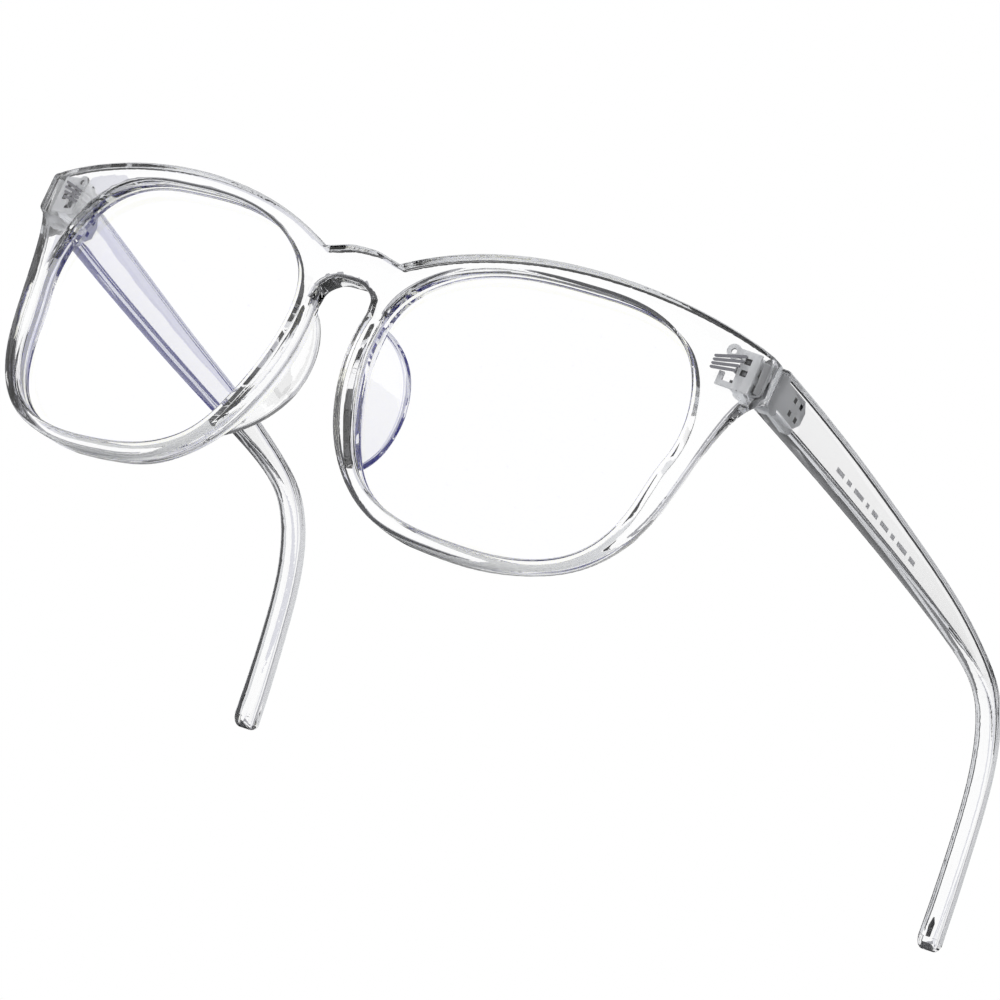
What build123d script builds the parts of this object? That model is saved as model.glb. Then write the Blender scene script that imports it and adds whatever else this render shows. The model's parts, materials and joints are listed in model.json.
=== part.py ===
from build123d import *
import os
from math import asin, cos, sin, sqrt

# Clear plastic glasses with plain blue light lenses, in millimetres.
# +Z is up, the front faces -Y and the temples run back along +Y.
# "left" is the wearer's left, which is the +X side. The right side is its mirror image.

TALL = 160.0             # height of every cylinder that a shape is cut with

# Front
FACE_RADIUS = 241.0      # the front is bent round an upright cylinder of this radius
FRONT_DEPTH = 4.0
TILT = 3.9               # the front leans forward by this angle over the level temples
FRONT_ROUND = 0.7        # on the outer edge of the front face
BACK_ROUND = 0.85        # on the outer edge of the back face
LENS_EDGE_ROUND = 0.5    # on both edges of the lens opening
RIM_RAKE = 0.45          # the rims' outer sides lean in by this much per mm towards the back
LUG_X = 68.8             # outer end of the front
LUG_TOP = 20.6
LUG_BOTTOM = 14.4
LUG_ROUND = 0.9
RAKE_X = (30.0, 52.0)    # the lean starts at the first x and is full from the second
RAKE_Z = (13.4, 7.0)     # the same for z, from under the lug
OUTLINE_PLANES = (-2.0, 20.0)

# Lenses
LENS_THICK = 1.6
LENS_SETBACK = 0.8       # front of the lens behind the front of the frame, at mid height
GROOVE_DEPTH = 0.5
GROOVE_GAP = 0.05

# Temples: the outer and the inner face are two upright cylinders
TEMPLE_OUT_X = 73.6
TEMPLE_OUT_Y = 92.0
TEMPLE_OUT_RADIUS = 740.0
TEMPLE_IN_X = 70.1
TEMPLE_IN_Y = 95.0
TEMPLE_IN_RADIUS = 714.0
TEMPLE_ROUND = 0.7
JOINT_GAP = 0.2          # between the open temple's end and the back of the front

# Hinges
HINGE_X = 63.7
HINGE_Y = 13.5
HINGE_Z = 18.2           # mid height of the barrels
BARREL_RADIUS = 1.4
BARREL_COUNT = 5
BARREL_PITCH = 1.2
BARREL_GAP = 0.06
SCREW_RADIUS = 0.68
SCREW_CLEARANCE = 0.04
PLATE_THICK = 0.9
PIT_DEPTH = 0.36         # of the pits that key both faces of a leaf into the plastic
HEAD_RADIUS = 1.15
HEAD_HEIGHT = 0.5
DRIVER_SLOT = 0.3        # width of the slot in the head; it is half as deep as the head
ANCHOR_X = 63.0          # middle of the front leaf's plate
ANCHOR_Z = 17.5
ANCHOR_DEPTH = 1.4       # plate's middle from the back of the front
ANCHOR_BOXES = [(1.65, 0.0, 2.7, 6.2), (0.0, 2.4, 2.4, 1.4),
                (-0.5, -2.8, 3.4, 0.8), (-1.8, -2.15, 0.8, 2.1)]
ANCHOR_EYE = (-1.35, 2.4)
ANCHOR_EYE_RADIUS = 1.1
ANCHOR_EYE_HOLE = 0.45   # radius
ANCHOR_PITS = [(1.3, 1.5), (1.3, -0.4)]
ANCHOR_PIT = 1.0         # side of each square pit
FRONT_WEB = (62.7, 64.7, 10.1, 13.5)     # from the front leaf to its barrels: x and y limits
LEAF_X = 67.4            # inner face of the temple leaf's plate
LEAF_START = 14.0
LEAF_END = 22.4
LEAF_HEIGHT = 4.6
LEAF_CUT = 1.3           # cut-off corners of its end
LEAF_PIT = 0.85          # side of each square pit
LEAF_PITS = [(3.8, -1.1), (3.8, 1.1), (1.7, -1.1), (1.7, 1.1)]  # from the end, from mid height
TEMPLE_WEB = (63.7, 67.85, 13.2, 15.2)   # from the temple leaf to its barrels
BLOCK_START = 65.4       # x of the solid block that joins the temple leaf's webs

# Metal corner bars, let into the front flush with its face
BAR_LENGTHS = (3.8, 4.15, 4.5, 4.8)      # from the lowest bar up
BAR_WIDTH = 0.4
BAR_DEPTH = 0.35
BAR_PITCH = 0.6
BAR_SLANT = 14.0
BAR_FAN = 2.5            # each bar slants this much more than the one below it
BAR_START = 60.3         # x of the bars' inner ends
BAR_Z = 17.0

# Nose pads
PAD_THICK = 2.6
PAD_SPREAD = 3.6         # how far the pad moves outward from its front to its back edge
PAD_ROUND = 0.9
PAD_GAP = 0.03           # the layer of cement under the pad
PAD_INSET = 0.2          # the pad starts this far outside the rim's nasal edge
PAD_FRONT = 3.0          # y limits between which it spreads
PAD_BACK = 14.7

# Half outlines (x, z) in the front's own frame, centred on the bridge
BRIDGE_TOP = [(0, 18.3), (2.6, 18.2), (5.0, 17.6), (7.1, 17.1)]
BROW = [(7.1, 17.1), (15.3, 20.8), (23.9, 23.2), (32.6, 24.5), (41.4, 24.9),
        (50.2, 24.5), (58.8, 23.3), (66.2, 21.5)]
RIM = [(67.4, 13.4), (65.3, 9.8), (64.0, 2.3), (62.3, -6.9), (59.9, -12.9),
       (56.3, -17.7), (51.7, -21.0), (45.6, -23.2), (38.1, -24.2), (29.6, -24.2),
       (22.7, -23.2), (17.3, -20.7), (12.5, -16.6), (8.6, -11.2), (6.0, -4.8),
       (4.8, 1.9), (5.3, 8.2)]
BRIDGE_ARCH = [(5.3, 8.2), (4.9, 10.4), (3.2, 11.9), (0, 12.4)]
APERTURE = [(59.3, 0.2), (59.1, 11.5), (55.7, 17.4), (48.6, 21.1), (37.9, 21.8),
            (23.0, 20.4), (14.5, 16.8), (9.1, 10.8), (8.1, 3.8), (11.3, -9.0),
            (15.8, -16.5), (22.9, -20.5), (33.9, -22.0), (45.6, -21.0),
            (52.7, -17.5), (57.1, -10.5)]

# Temple outline (y, z), with the temple level
TEMPLE_TOP = [(8, 21.8), (40, 21.5), (65, 20.7), (90, 19.6), (103, 18.1), (112, 15.9),
              (119.5, 10.8), (124.4, 3.6), (128.0, -5.8), (130.9, -15.2), (132.8, -22.5)]
# Nose pad: its nasal edge (x, z) where it meets the rim, and its side view (y, z)
PAD_NASAL = [(5.0, 8.8), (4.8, 3.0), (5.9, -4.0), (8.4, -10.4), (12.8, -18.0)]
PAD_SIDE = [(3.0, 7.6), (8.0, 6.8), (12.2, 3.6), (13.7, -1.2), (12.4, -6.6),
            (8.6, -12.0), (3.0, -16.4)]
TEMPLE_BOTTOM = [(8, 14.6), (40, 14.7), (70, 14.9), (92, 15.0), (104, 14.4), (111, 12.6),
                 (117.0, 8.0), (121.4, 1.2), (124.4, -7.0), (126.6, -15.0), (128.3, -22.5)]


def points(pairs):
    """The (x, z) pairs as 3-D points of the XZ plane."""
    return [Vector(x, 0, z) for x, z in pairs]


def side_points(pairs):
    """The (y, z) pairs as 3-D points of the YZ plane."""
    return [Vector(0, y, z) for y, z in pairs]


def ring_wire(*curves):
    """A closed wire of curves given in order round it."""
    return Wire([edge for curve in curves for edge in curve.edges()])


def shell(outer_radius, thickness):
    """Upright cylindrical shell about the front's axis of curvature."""
    outer = Cylinder(outer_radius, TALL)
    inner = Cylinder(outer_radius - thickness, TALL)
    return Pos(0, FACE_RADIUS, 0) * (outer - inner)


def bar_along_y(face):
    """A face of the XZ plane made into a bar, well past both faces of the front."""
    return extrude(face, amount=TALL / 2, dir=(0, 1, 0), both=True)


def tilted(shape):
    """From the front's own frame to the level frame of the temples."""
    return Rot(TILT, 0, 0) * shape


def smooth_step(value, low, high):
    """0 below the low value, 1 above the high one, and a smooth curve between."""
    t = min(max((value - low) / (high - low), 0), 1)
    return t * t * (3 - 2 * t)


def raked(pairs, y):
    """The outline where its walls cross the plane at this y: only the rim's outer side leans."""
    moved = []
    for x, z in pairs:
        face_y = FACE_RADIUS - sqrt(FACE_RADIUS**2 - x**2)
        share = smooth_step(x, *RAKE_X) * smooth_step(z, *RAKE_Z)
        moved.append((x - RIM_RAKE * share * (y - face_y), z))
    return moved


def outline_face(y):
    """The half front's outline, without its lens opening, where its walls cross this y."""
    def at_y(pairs):
        return [Vector(x, y, z) for x, z in raked(pairs, y)]
    bridge_top = Spline(at_y(BRIDGE_TOP), tangents=[(1, 0, 0), (1, 0, -0.25)])
    brow = Spline(at_y(BROW))
    lug = Polyline(at_y([BROW[-1], (LUG_X, LUG_TOP), (LUG_X, LUG_BOTTOM), RIM[0]]))
    rim = Spline(at_y(RIM))
    arch = Spline(at_y(BRIDGE_ARCH), tangents=[(-0.25, 0, 1), (-1, 0, 0)])
    middle = Line(at_y([BRIDGE_ARCH[-1], BRIDGE_TOP[0]]))
    return Face(ring_wire(bridge_top, brow, lug, rim, arch, middle))


def lies_on(edge, radius):
    """True if the edge lies on the upright cylinder of this radius about the front's axis."""
    spots = [edge.position_at(t) for t in (0.1, 0.5, 0.9)]
    return all(abs(sqrt(p.X**2 + (p.Y - FACE_RADIUS)**2) - radius) < 1e-3 for p in spots)


def off_middle(edge):
    """True if the edge isn't in the plane of symmetry."""
    return abs(edge.position_at(0.5).X) > 1e-3


def grown(outline, growth):
    """The points of a closed anticlockwise outline, each moved out square to its neighbours."""
    moved = []
    for i, (x, z) in enumerate(outline):
        before = outline[i - 1]
        after = outline[(i + 1) % len(outline)]
        along = Vector(after[0] - before[0], after[1] - before[1]).normalized()
        moved.append((x + growth * along.Y, z - growth * along.X))
    return moved


def aperture_face(growth=0.0):
    """The lens opening of the +X side, grown outward for the groove that holds the lens."""
    outline = Spline(points(grown(APERTURE, growth)), periodic=True)
    return Face(Wire([outline.edge()]))


def lens_shape(growth, gap):
    """Plain lens: a piece of a thin sphere about a point on the front's own axis."""
    radius = FACE_RADIUS - LENS_SETBACK
    ball = Sphere(radius + gap) - Sphere(radius - LENS_THICK - gap)
    front_half = extrude(aperture_face(growth), amount=TALL / 2, dir=(0, 1, 0))
    return front_half & (Pos(0, FACE_RADIUS, 0) * ball)


def half_front():
    """The +X half of the front with its rounded edges and its lens groove."""
    blank = loft([outline_face(y) for y in OUTLINE_PLANES], ruled=True)
    body = (blank - bar_along_y(aperture_face())) & shell(FACE_RADIUS, FRONT_DEPTH)
    corners = [e for e in body.edges() if e.position_at(0.5).X > LUG_X - 0.01
               and abs((e @ 0).Z - (e @ 1).Z) < 0.01]
    body = fillet(corners, LUG_ROUND)
    for radius, rounding in ((FACE_RADIUS, FRONT_ROUND), (FACE_RADIUS - FRONT_DEPTH, BACK_ROUND)):
        rims = [e for e in body.edges() if off_middle(e) and lies_on(e, radius)]
        body = fillet([e for e in rims if e.is_closed], LENS_EDGE_ROUND)
        rims = [e for e in body.edges() if off_middle(e) and lies_on(e, radius)]
        body = fillet([e for e in rims if not e.is_closed], rounding)
    return body - lens_shape(GROOVE_DEPTH + GROOVE_GAP, GROOVE_GAP)


def nose_pad():
    """Left pad: a rounded fin behind the nasal side of the rim, spreading outward to the back."""
    nasal = points([(x + PAD_INSET, z) for x, z in PAD_NASAL])
    cheek = points([(x + PAD_INSET + PAD_THICK, z) for x, z in PAD_NASAL])
    band = Face(ring_wire(Spline(nasal), Line(nasal[-1], cheek[-1]), Spline(cheek),
                          Line(cheek[0], nasal[0])))
    fin = loft([Pos(0, PAD_FRONT, 0) * band, Pos(PAD_SPREAD, PAD_BACK, 0) * band])
    side_curve = Spline(side_points(PAD_SIDE))
    side_close = Line(side_points([PAD_SIDE[-1], PAD_SIDE[0]]))
    profile = extrude(Face(ring_wire(side_curve, side_close)), amount=TALL, dir=(1, 0, 0))
    base = FACE_RADIUS - FRONT_DEPTH - PAD_GAP
    pad = fin & profile & (Pos(0, FACE_RADIUS, 0) * Cylinder(base, TALL))
    return fillet([e for e in pad.edges() if not lies_on(e, base)], PAD_ROUND)


def corner_bars():
    """Slim slanting bars let into the front's left corner, flush with its face."""
    skin = shell(FACE_RADIUS, BAR_DEPTH)
    bars = []
    for i, length in enumerate(BAR_LENGTHS):
        step = i - (len(BAR_LENGTHS) - 1) / 2
        outline = Plane.XZ * SlotOverall(length, BAR_WIDTH)
        turn = Rot(0, -BAR_SLANT - step * BAR_FAN, 0)
        place = Pos(BAR_START, 0, BAR_Z + step * BAR_PITCH) * turn * Pos(length / 2, 0, 0)
        bars.append(extrude(place * outline, amount=TALL / 2, dir=(0, 1, 0)) & skin)
    return bars


def knuckles(levels, web, bore):
    """Hinge barrels at these levels, each with its web (x, y, low and high), bored through."""
    rings = []
    low_x, high_x, low_y, high_y = web
    height = BARREL_PITCH - BARREL_GAP
    for level in levels:
        z = HINGE_Z + (level - (BARREL_COUNT - 1) / 2) * BARREL_PITCH
        barrel = Pos(HINGE_X, HINGE_Y, z) * Cylinder(BARREL_RADIUS, height)
        arm = Pos((low_x + high_x) / 2, (low_y + high_y) / 2, z) * Box(
            high_x - low_x, high_y - low_y, height)
        rings.append(barrel + arm)
    hole = Pos(HINGE_X, HINGE_Y, HINGE_Z) * Cylinder(bore, TALL)
    joined = rings[0] + rings[1:]
    return joined - hole


def front_hinge():
    """Left front leaf: an anchored plate inside the corner and the odd hinge barrels."""
    plate_radius = FACE_RADIUS - FRONT_DEPTH + ANCHOR_DEPTH
    angle = asin(ANCHOR_X / plate_radius)
    origin = (ANCHOR_X, FACE_RADIUS - plate_radius * cos(angle), ANCHOR_Z)
    plane = Plane(origin, x_dir=(cos(angle), sin(angle), 0), z_dir=(sin(angle), -cos(angle), 0))
    sketch = Pos(*ANCHOR_EYE) * Circle(ANCHOR_EYE_RADIUS)
    for x, z, width, height in ANCHOR_BOXES:
        sketch += Pos(x, z) * Rectangle(width, height)
    sketch -= Pos(*ANCHOR_EYE) * Circle(ANCHOR_EYE_HOLE)
    plate = extrude(plane * sketch, amount=PLATE_THICK / 2, both=True)
    pit = Box(ANCHOR_PIT, ANCHOR_PIT, 2 * PIT_DEPTH)
    for x, z in ANCHOR_PITS:
        for face in (-PLATE_THICK / 2, PLATE_THICK / 2):
            plate -= plane.location * Pos(x, z, face) * pit
    rings = knuckles(range(0, BARREL_COUNT, 2), FRONT_WEB, SCREW_RADIUS + SCREW_CLEARANCE)
    return tilted(plate) + rings


def temple_hinge():
    """Left temple leaf: a plate and a block inside the temple, and the even hinge barrels."""
    low_z = HINGE_Z - LEAF_HEIGHT / 2
    high_z = HINGE_Z + LEAF_HEIGHT / 2
    outline = Polyline(side_points([
        (LEAF_START, low_z), (LEAF_END - LEAF_CUT, low_z), (LEAF_END, low_z + LEAF_CUT),
        (LEAF_END, high_z - LEAF_CUT), (LEAF_END - LEAF_CUT, high_z),
        (LEAF_START, high_z)]), close=True)
    plate = Pos(LEAF_X, 0, 0) * extrude(Face(Wire(outline.edges())), amount=PLATE_THICK,
                                        dir=(1, 0, 0))
    pit = Box(2 * PIT_DEPTH, LEAF_PIT, LEAF_PIT)
    for from_end, from_middle in LEAF_PITS:
        for x in (LEAF_X, LEAF_X + PLATE_THICK):
            plate -= Pos(x, LEAF_END - from_end, HINGE_Z + from_middle) * pit
    block_end = LEAF_X + PLATE_THICK
    block = Pos((BLOCK_START + block_end) / 2, (TEMPLE_WEB[2] + TEMPLE_WEB[3]) / 2, HINGE_Z) * Box(
        block_end - BLOCK_START, TEMPLE_WEB[3] - TEMPLE_WEB[2],
        BARREL_COUNT * BARREL_PITCH - BARREL_GAP)
    rings = knuckles(range(1, BARREL_COUNT, 2), TEMPLE_WEB, SCREW_RADIUS + SCREW_CLEARANCE)
    return plate + block + rings


def hinge_screw():
    """Left screw: its shaft runs down through all the barrels, its slotted head is on top."""
    stack = BARREL_COUNT * BARREL_PITCH - BARREL_GAP
    shaft = Cylinder(SCREW_RADIUS, stack)
    head = Pos(0, 0, stack / 2 + HEAD_HEIGHT / 2) * Cylinder(HEAD_RADIUS, HEAD_HEIGHT)
    slot = Pos(0, 0, stack / 2 + HEAD_HEIGHT) * Box(TALL, DRIVER_SLOT, HEAD_HEIGHT)
    return Pos(HINGE_X, HINGE_Y, HINGE_Z) * (shaft + head - slot)


def upright_cylinder(x, y, radius):
    """A tall cylinder whose outermost +X line passes through x at this y."""
    return Pos(x - radius, y, 0) * Cylinder(radius, TALL)


def temple(floor):
    """Left temple: its side view, bent in plan between two cylinders, ending on the floor."""
    top = Spline(side_points(TEMPLE_TOP))
    bottom = Spline(side_points(TEMPLE_BOTTOM))
    tip_y = (TEMPLE_TOP[-1][0] + TEMPLE_BOTTOM[-1][0]) / 2
    tip = ThreePointArc(*side_points([TEMPLE_TOP[-1], (tip_y, floor), TEMPLE_BOTTOM[-1]]))
    end = Line(side_points([TEMPLE_BOTTOM[0], TEMPLE_TOP[0]]))
    profile = extrude(Face(ring_wire(top, tip, bottom, end)), amount=TALL, dir=(1, 0, 0))
    blank = profile & upright_cylinder(TEMPLE_OUT_X, TEMPLE_OUT_Y, TEMPLE_OUT_RADIUS)
    blank -= upright_cylinder(TEMPLE_IN_X, TEMPLE_IN_Y, TEMPLE_IN_RADIUS)
    behind = Cylinder(FACE_RADIUS - FRONT_DEPTH - JOINT_GAP, TALL)
    blank = blank & tilted(Pos(0, FACE_RADIUS, 0) * behind)
    return fillet(blank.edges(), TEMPLE_ROUND)


def build():
    """Every node's shape, standing on the floor with the origin under the middle."""
    half = half_front()
    bars = corner_bars()
    leaf = front_hinge()
    for bar in bars:
        half -= bar
    front = tilted(half)
    front -= leaf
    floor = front.bounding_box().min.Z
    arm = temple(floor)
    arm_leaf = temple_hinge()
    arm -= arm_leaf

    left = {
        "lens": tilted(lens_shape(GROOVE_DEPTH, 0)),
        "nose_pad": tilted(nose_pad()),
        "temple": arm,
        "front_hinge": leaf,
        "temple_hinge": arm_leaf,
        "hinge_screw": hinge_screw(),
    }
    for number, bar in enumerate(bars, start=1):
        left[f"corner_bar_{number}"] = tilted(bar)

    nodes = {"front_frame": front + mirror(front, about=Plane.YZ)}
    for name, shape in left.items():
        nodes[f"{name}_left"] = shape
        nodes[f"{name}_right"] = mirror(shape, about=Plane.YZ)

    front_y = front.bounding_box().min.Y
    back_y = arm.bounding_box().max.Y
    stand = Pos(0, -(front_y + back_y) / 2, -floor)
    return {name: stand * shape for name, shape in nodes.items()}


os.makedirs("parts", exist_ok=True)
for node, shape in build().items():
    export_step(shape, f"parts/{node}.step")
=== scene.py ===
import json
from math import cos, radians, sin

import bmesh
import bpy
from mathutils import Matrix, Vector
from mathutils.bvhtree import BVHTree


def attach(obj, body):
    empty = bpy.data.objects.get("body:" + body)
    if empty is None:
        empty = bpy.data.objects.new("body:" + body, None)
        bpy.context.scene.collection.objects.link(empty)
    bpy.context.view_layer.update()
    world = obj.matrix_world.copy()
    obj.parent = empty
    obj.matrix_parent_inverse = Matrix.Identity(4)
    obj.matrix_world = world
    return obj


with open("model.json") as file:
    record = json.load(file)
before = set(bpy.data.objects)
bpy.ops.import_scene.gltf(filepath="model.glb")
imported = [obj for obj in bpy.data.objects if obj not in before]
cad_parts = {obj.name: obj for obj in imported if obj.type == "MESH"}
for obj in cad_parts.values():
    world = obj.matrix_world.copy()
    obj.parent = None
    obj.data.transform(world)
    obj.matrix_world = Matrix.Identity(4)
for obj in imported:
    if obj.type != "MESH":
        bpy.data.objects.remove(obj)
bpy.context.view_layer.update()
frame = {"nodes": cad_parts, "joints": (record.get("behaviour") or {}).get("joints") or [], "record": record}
nodes = frame["nodes"]
joints = {joint["name"]: joint for joint in frame["joints"]}

# The middle of the front, between the two hinge axes. The camera's place is given from here.
HINGE = Vector(joints["left_temple_fold"]["pos_m"])
HINGE_BEHIND = 0.0135    # m, from the middle of the front to the hinge axes
HINGE_ABOVE = 0.0182     # m
MIDDLE = Vector((0, HINGE.y - HINGE_BEHIND, HINGE.z - HINGE_ABOVE))

CAMERA_SPOT = Vector((0.41914, -0.57905, -0.21800))      # metres from the middle of the front
CAMERA_AZIMUTH = -33.08  # degrees, from +Y towards +X
CAMERA_ELEVATION = 16.38
CAMERA_ROLL = 26.30
CAMERA_LENS = 176.85     # mm
CAMERA_SENSOR = 36.0     # mm
CAMERA_NEAR = 0.01       # m

SHARP_ANGLE = 30         # degrees; edges sharper than this stay sharp
SEAM = 1e-6              # m, within which split seams are joined
METAL_SWELL = 0.000015   # m, by which metal stands out of the plastic round it


def node_tree(name):
    """A new material's node tree with its Principled shader."""
    material = bpy.data.materials.new(name)
    material.use_nodes = True
    tree = material.node_tree
    return material, tree, tree.nodes["Principled BSDF"]


def noise(tree, scale, detail=3.0, stretch=(1, 1, 1)):
    """A noise texture on the object's own coordinates."""
    coordinates = tree.nodes.new("ShaderNodeTexCoord")
    mapping = tree.nodes.new("ShaderNodeMapping")
    mapping.inputs["Scale"].default_value = stretch
    texture = tree.nodes.new("ShaderNodeTexNoise")
    texture.inputs["Scale"].default_value = scale
    texture.inputs["Detail"].default_value = detail
    tree.links.new(coordinates.outputs["Object"], mapping.inputs["Vector"])
    tree.links.new(mapping.outputs["Vector"], texture.inputs["Vector"])
    return texture


def ramp(tree, source, low, high):
    """The noise's usual span, 0.3 to 0.7, turned into low to high."""
    spread = tree.nodes.new("ShaderNodeMapRange")
    spread.inputs["From Min"].default_value = 0.3
    spread.inputs["From Max"].default_value = 0.7
    spread.inputs["To Min"].default_value = low
    spread.inputs["To Max"].default_value = high
    tree.links.new(source, spread.inputs["Value"])
    return spread.outputs["Result"]


def bump(tree, shader, source, strength, distance):
    """Bump on the shader from the source's height."""
    node = tree.nodes.new("ShaderNodeBump")
    node.inputs["Strength"].default_value = strength
    node.inputs["Distance"].default_value = distance
    tree.links.new(source, node.inputs["Height"])
    tree.links.new(node.outputs["Normal"], shader.inputs["Normal"])


PLASTIC_IOR = 1.50
PLASTIC_TINT = (0.90, 0.90, 0.96, 1)
PLASTIC_DENSITY = 8.0    # of absorption, per metre


def clear_plastic(name):
    """Polished clear moulded plastic: faint waves from the mould and a slight absorption."""
    material, tree, shader = node_tree(name)
    shader.inputs["Base Color"].default_value = (1, 1, 1, 1)
    shader.inputs["Transmission Weight"].default_value = 1.0
    shader.inputs["IOR"].default_value = PLASTIC_IOR
    fine = noise(tree, scale=900.0, detail=4.0)
    tree.links.new(ramp(tree, fine.outputs["Fac"], low=0.0, high=0.002), shader.inputs["Roughness"])
    wave = noise(tree, scale=60.0, detail=1.0)
    bump(tree, shader, wave.outputs["Fac"], strength=0.2, distance=0.0001)
    inside = tree.nodes.new("ShaderNodeVolumeAbsorption")
    inside.inputs["Color"].default_value = PLASTIC_TINT
    inside.inputs["Density"].default_value = PLASTIC_DENSITY
    tree.links.new(inside.outputs["Volume"], tree.nodes["Material Output"].inputs["Volume"])
    return material


# What each face of the lens reflects and passes of red, green and blue
LENS_REFLECTED = (0.02, 0.02, 0.09, 1)
LENS_PASSED = (0.98, 0.98, 0.92, 1)
GRAZING_POWER = 5.0      # how suddenly the reflection rises towards grazing sight


def lens_plastic():
    """Plain lens as a clear pane: its coating reflects a little violet-blue and passes the rest."""
    material, tree, shader = node_tree("lens_coated")
    link = tree.links.new
    shader.inputs["Base Color"].default_value = LENS_REFLECTED
    shader.inputs["Metallic"].default_value = 1.0
    shader.inputs["Specular IOR Level"].default_value = 0.0
    polish = noise(tree, scale=700.0, detail=2.0)
    link(ramp(tree, polish.outputs["Fac"], low=0.0, high=0.02), shader.inputs["Roughness"])
    bump(tree, shader, polish.outputs["Fac"], strength=0.05, distance=0.00001)
    passed = tree.nodes.new("ShaderNodeBsdfTransparent")
    passed.inputs["Color"].default_value = LENS_PASSED
    both = tree.nodes.new("ShaderNodeAddShader")
    link(passed.outputs["BSDF"], both.inputs[0])
    link(shader.outputs["BSDF"], both.inputs[1])
    weight = tree.nodes.new("ShaderNodeLayerWeight")
    weight.inputs["Blend"].default_value = 0.5
    power = tree.nodes.new("ShaderNodeMath")
    power.operation = "POWER"
    power.inputs[1].default_value = GRAZING_POWER
    link(weight.outputs["Facing"], power.inputs[0])
    grazing = tree.nodes.new("ShaderNodeBsdfGlossy")
    grazing.inputs["Roughness"].default_value = 0.0
    mix = tree.nodes.new("ShaderNodeMixShader")
    link(power.outputs["Value"], mix.inputs["Fac"])
    link(both.outputs["Shader"], mix.inputs[1])
    link(grazing.outputs["BSDF"], mix.inputs[2])
    link(mix.outputs["Shader"], tree.nodes["Material Output"].inputs["Surface"])
    return material


METALLIC = 0.6
# Painted shade: near walls darken the metal's base colour in its pits and corners
PAINTED_SHADE_DARK = (0.02, 0.02, 0.025, 1)
PAINTED_SHADE_REACH = 0.0007       # m, within which a wall paints shade into the metal's colour
PAINTED_SHADE_SPAN = (0.7, 0.95) # openness at which the painted shade is at its darkest, and at which the metal is at its lightest


def metal(name, light, low, high, stretch):
    """Brushed or turned metal of roughness low to high, with shade painted into its colour in its pits and
    corners.
    """
    material, tree, shader = node_tree(name)
    shader.inputs["Metallic"].default_value = METALLIC
    grain = noise(tree, scale=1800.0, detail=4.0, stretch=stretch)
    tree.links.new(ramp(tree, grain.outputs["Fac"], low, high), shader.inputs["Roughness"])
    bump(tree, shader, grain.outputs["Fac"], strength=0.25, distance=0.00002)
    # Painted shade: an ambient occlusion mask turns the base colour dark in pits and corners
    corners = tree.nodes.new("ShaderNodeAmbientOcclusion")
    corners.inputs["Distance"].default_value = PAINTED_SHADE_REACH
    corners.only_local = True
    painted_shade = tree.nodes.new("ShaderNodeValToRGB")
    for element, position, color in zip(painted_shade.color_ramp.elements, PAINTED_SHADE_SPAN, (PAINTED_SHADE_DARK, light)):
        element.position = position
        element.color = color
    tree.links.new(corners.outputs["AO"], painted_shade.inputs["Fac"])
    tree.links.new(painted_shade.outputs["Color"], shader.inputs["Base Color"])
    return material


def smooth(obj):
    """Joins the mesh's split seams and shades it smooth, but for its sharp edges."""
    group = bpy.data.node_groups.get("smooth_shading")
    if group is None:
        group = bpy.data.node_groups.new("smooth_shading", "GeometryNodeTree")
        group.interface.new_socket("Geometry", in_out="INPUT", socket_type="NodeSocketGeometry")
        group.interface.new_socket("Geometry", in_out="OUTPUT", socket_type="NodeSocketGeometry")
        enter = group.nodes.new("NodeGroupInput")
        leave = group.nodes.new("NodeGroupOutput")
        merge = group.nodes.new("GeometryNodeMergeByDistance")
        merge.inputs["Distance"].default_value = SEAM
        faces = group.nodes.new("GeometryNodeSetShadeSmooth")
        faces.domain = "FACE"
        edges = group.nodes.new("GeometryNodeSetShadeSmooth")
        edges.domain = "EDGE"
        edges.inputs["Shade Smooth"].default_value = False
        angle = group.nodes.new("GeometryNodeInputMeshEdgeAngle")
        sharper = group.nodes.new("FunctionNodeCompare")
        sharper.operation = "GREATER_THAN"
        sharper.inputs["B"].default_value = radians(SHARP_ANGLE)
        link = group.links.new
        link(enter.outputs[0], merge.inputs["Geometry"])
        link(merge.outputs["Geometry"], faces.inputs["Geometry"])
        link(faces.outputs["Geometry"], edges.inputs["Geometry"])
        link(angle.outputs["Unsigned Angle"], sharper.inputs["A"])
        link(sharper.outputs["Result"], edges.inputs["Selection"])
        link(edges.outputs["Geometry"], leave.inputs[0])
    modifier = obj.modifiers.new("smooth", "NODES")
    modifier.node_group = group


def place(name, mesh):
    """A new object in the scene from the bmesh."""
    data = bpy.data.meshes.new(name)
    mesh.to_mesh(data)
    mesh.free()
    obj = bpy.data.objects.new(name, data)
    bpy.context.scene.collection.objects.link(obj)
    return obj


def strip(mesh, rows):
    """Faces between each row of two points and the next."""
    for a, b in zip(rows, rows[1:]):
        mesh.faces.new((a[0], a[1], b[1], b[0]))


def dress(obj, material):
    """Gives the object this material alone."""
    obj.data.materials.clear()
    obj.data.materials.append(material)


ALONG_AXIS = (1, 1, 0.1)
ACROSS = (0.2, 1, 1)
EVEN = (1, 1, 1)
SLOTS = {
    "front_plastic": clear_plastic("front_plastic"),
    "temple_plastic": clear_plastic("temple_plastic"),
    "pad_plastic": clear_plastic("pad_plastic"),
    "lens": lens_plastic(),
    "hinge_metal": metal("hinge_metal", (0.92, 0.93, 0.95, 1), 0.3, 0.5, ALONG_AXIS),
    "screw_metal": metal("screw_metal", (0.88, 0.89, 0.91, 1), 0.25, 0.4, EVEN),
    "bar_metal": metal("bar_metal", (0.20, 0.20, 0.22, 1), 0.1, 0.25, ACROSS),
}
METALS = ("hinge_metal", "screw_metal", "bar_metal")

for part in frame["record"]["subparts"]:
    obj = nodes[part["node"]]
    dress(obj, SLOTS[part["material_slot"]])
    smooth(obj)
    if part["material_slot"] in METALS:
        swell = obj.modifiers.new("swell", "DISPLACE")
        swell.strength = METAL_SWELL
        swell.mid_level = 0.0


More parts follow.
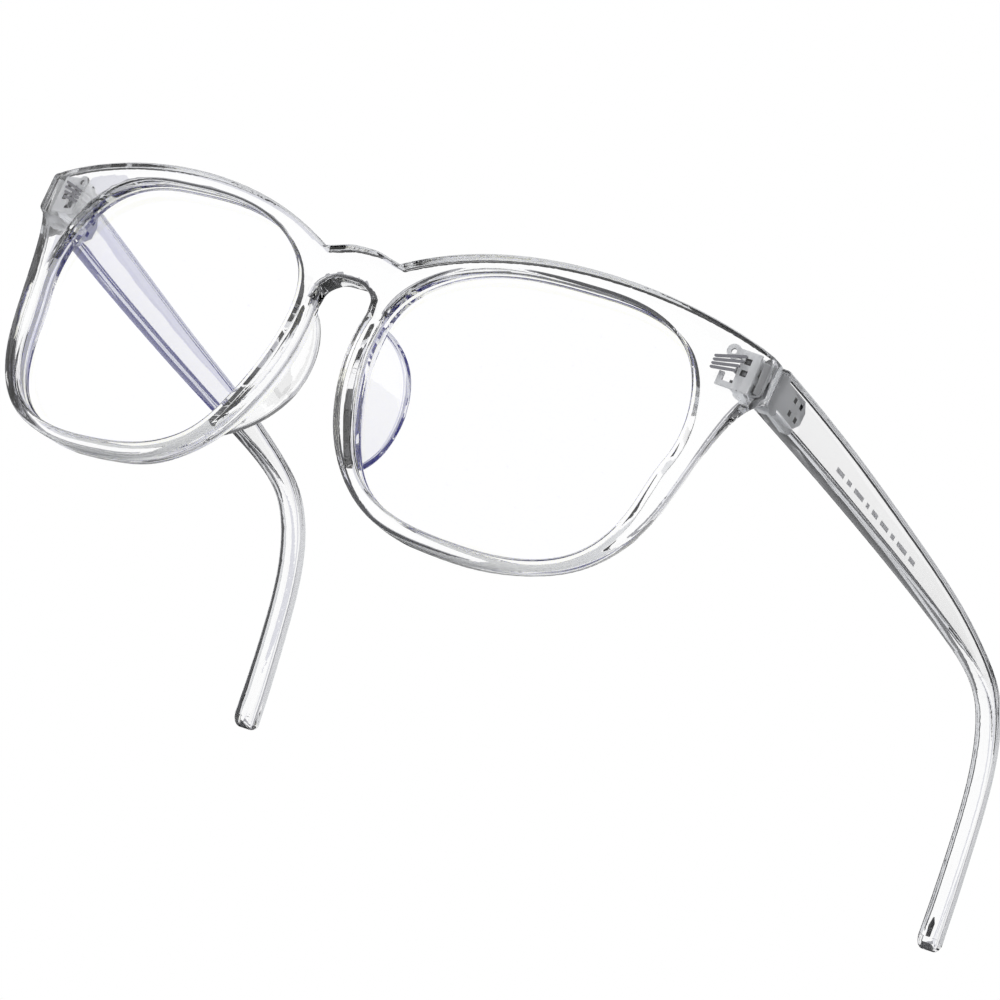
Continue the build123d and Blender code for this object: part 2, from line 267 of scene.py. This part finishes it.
# Plain bars in place of the size print, widths in mm
MARKS = (2.6, 1.5, 3.4, 1.0, 2.2, 3.0, 1.4, 3.8, 2.4)
MARK_GAP = 1.3
MARK_HEIGHT = 0.7
MARK_START = 37.4        # mm behind the middle of the front
MARK_Z = 17.9            # mm above it
MARK_LIFT = 0.02         # mm off the plastic
MARK_FROM_X = 40.0       # mm, from where the temple's inner face is looked for
MARK_STEP = 0.3          # mm along the temple


def size_marks():
    """A row of plain bars printed on the inner face of the left temple."""
    depsgraph = bpy.context.evaluated_depsgraph_get()
    tree = BVHTree.FromObject(nodes["temple_left"], depsgraph)
    mesh = bmesh.new()
    start = MARK_START
    for width in MARKS:
        steps = max(1, round(width / MARK_STEP))
        rows = []
        for i in range(steps + 1):
            row = []
            for up in (-MARK_HEIGHT / 2, MARK_HEIGHT / 2):
                inside = Vector((MARK_FROM_X, start + width * i / steps, MARK_Z + up)) / 1000
                hit, normal, _, _ = tree.ray_cast(MIDDLE + inside, Vector((1, 0, 0)))
                row.append(mesh.verts.new(hit + normal * MARK_LIFT / 1000))
            rows.append(row)
        strip(mesh, rows)
        start += width + MARK_GAP
    return place("size_marks", mesh)


INK_COLOR = (0.88, 0.88, 0.90, 1)


def print_ink():
    """Matt pale grey ink."""
    material, tree, shader = node_tree("print_ink")
    shader.inputs["Base Color"].default_value = INK_COLOR
    grain = noise(tree, scale=4000.0, detail=2.0)
    tree.links.new(ramp(tree, grain.outputs["Fac"], low=0.45, high=0.7), shader.inputs["Roughness"])
    bump(tree, shader, grain.outputs["Fac"], strength=0.3, distance=0.00001)
    return material


marks = size_marks()
dress(marks, print_ink())
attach(marks, "left_temple")


FLOOR_COLOR = (0.72, 0.73, 0.75, 1)
FLOOR_HALF = 4.0         # m


def floor():
    """Pale floor, seen from above only: the photograph looks up from below its level."""
    mesh = bmesh.new()
    bmesh.ops.create_grid(mesh, x_segments=8, y_segments=8, size=FLOOR_HALF)
    obj = place("floor", mesh)
    material, tree, shader = node_tree("floor_pale")
    grain = noise(tree, scale=40.0, detail=2.0)
    tree.links.new(ramp(tree, grain.outputs["Fac"], low=0.85, high=0.95), shader.inputs["Roughness"])
    shader.inputs["Base Color"].default_value = FLOOR_COLOR
    through = tree.nodes.new("ShaderNodeBsdfTransparent")
    side = tree.nodes.new("ShaderNodeNewGeometry")
    mix = tree.nodes.new("ShaderNodeMixShader")
    tree.links.new(side.outputs["Backfacing"], mix.inputs["Fac"])
    tree.links.new(shader.outputs["BSDF"], mix.inputs[1])
    tree.links.new(through.outputs["BSDF"], mix.inputs[2])
    tree.links.new(mix.outputs["Shader"], tree.nodes["Material Output"].inputs["Surface"])
    dress(obj, material)


floor()


# Dark cards round the object, as in a studio for glassware. The camera doesn't see them.
# Each has its start and end azimuth in degrees from the camera's direction, its low and its
# high edge as radius and height in metres, and its grey.
CARDS = [(-180, 180, (0.72, 0.42), (0.22, 0.80), 0.08),
         (38, 86, (0.72, 0.06), (0.72, 0.42), 0.04),
         (-18, 18, (0.16, 0.001), (0.72, 0.055), 0.04),
         (-70, -26, (0.72, 0.03), (0.72, 0.42), 0.5)]
CARD_STEP = 6.0          # degrees
CARD_BLUE = 1.06         # a card's blue, of its grey


def hang(name, mesh, grey):
    """A card from the mesh, seen only in reflections and refractions."""
    obj = place(name, mesh)
    material, _, shader = node_tree(name)
    shader.inputs["Base Color"].default_value = (grey, grey, grey * CARD_BLUE, 1)
    shader.inputs["Roughness"].default_value = 1.0
    shader.inputs["Specular IOR Level"].default_value = 0.0
    dress(obj, material)
    obj.visible_camera = False
    obj.visible_shadow = False
    obj.visible_diffuse = False


def card(number, start, end, low, high, grey):
    """A card bent round the object."""
    mesh = bmesh.new()
    steps = int((end - start) / CARD_STEP)
    rows = []
    for i in range(steps + 1):
        angle = radians(CAMERA_AZIMUTH + start + (end - start) * i / steps)
        rows.append([mesh.verts.new((sin(angle) * radius, cos(angle) * radius, height))
                     for radius, height in (low, high)])
    strip(mesh, rows)
    hang(f"card_{number}", mesh, grey)


for number, settings in enumerate(CARDS, start=1):
    card(number, *settings)


def camera_axes():
    """The camera's forward, right and up directions."""
    azimuth = radians(CAMERA_AZIMUTH)
    elevation = radians(CAMERA_ELEVATION)
    roll = radians(CAMERA_ROLL)
    forward = Vector((sin(azimuth) * cos(elevation), cos(azimuth) * cos(elevation), sin(elevation)))
    level_right = forward.cross(Vector((0, 0, 1))).normalized()
    level_up = level_right.cross(forward)
    right = level_right * cos(roll) + level_up * sin(roll)
    return forward, right, right.cross(forward)


# A mount far behind the object, with a square window of white as wide as the picture.
# Its greys are by side of the picture: 0 is the bottom, 2 the top and 3 the left. There is
# no right side.
WINDOW_FAR = 4.0         # m
WINDOW_HALF = 0.52
MOUNT_HALF = 1.1
MOUNT_GREYS = {0: 0.03, 2: 0.4, 3: 0.84}


def window_mount():
    """The mount round the white window."""
    forward, right, up = camera_axes()
    middle = MIDDLE + CAMERA_SPOT + forward * (CAMERA_SPOT.length + WINDOW_FAR)
    corners = ((-1, -1), (1, -1), (1, 1), (-1, 1))
    for i, grey in MOUNT_GREYS.items():
        mesh = bmesh.new()
        (x0, y0), (x1, y1) = corners[i], corners[(i + 1) % 4]
        spots = [middle + (right * x + up * y) * half
                 for x, y, half in ((x0, y0, WINDOW_HALF), (x1, y1, WINDOW_HALF),
                                    (x1, y1, MOUNT_HALF), (x0, y0, MOUNT_HALF))]
        mesh.faces.new([mesh.verts.new(spot) for spot in spots])
        hang(f"mount_{i}", mesh, grey)


window_mount()


def studio():
    """Even white surroundings."""
    world = bpy.data.worlds.new("studio")
    bpy.context.scene.world = world
    world.use_nodes = True
    background = world.node_tree.nodes["Background"]
    background.inputs["Color"].default_value = (1, 1, 1, 1)
    background.inputs["Strength"].default_value = 1.0


studio()


def camera():
    """The camera at the photograph's angle."""
    forward, right, up = camera_axes()
    data = bpy.data.cameras.new("camera")
    data.sensor_width = CAMERA_SENSOR
    data.lens = CAMERA_LENS
    data.clip_start = CAMERA_NEAR
    obj = bpy.data.objects.new("camera", data)
    bpy.context.scene.collection.objects.link(obj)
    rotation = Matrix((right, up, -forward)).transposed().to_4x4()
    obj.matrix_world = Matrix.Translation(MIDDLE + CAMERA_SPOT) @ rotation
    bpy.context.scene.camera = obj


camera()
bpy.context.scene.view_settings.view_transform = "Standard"
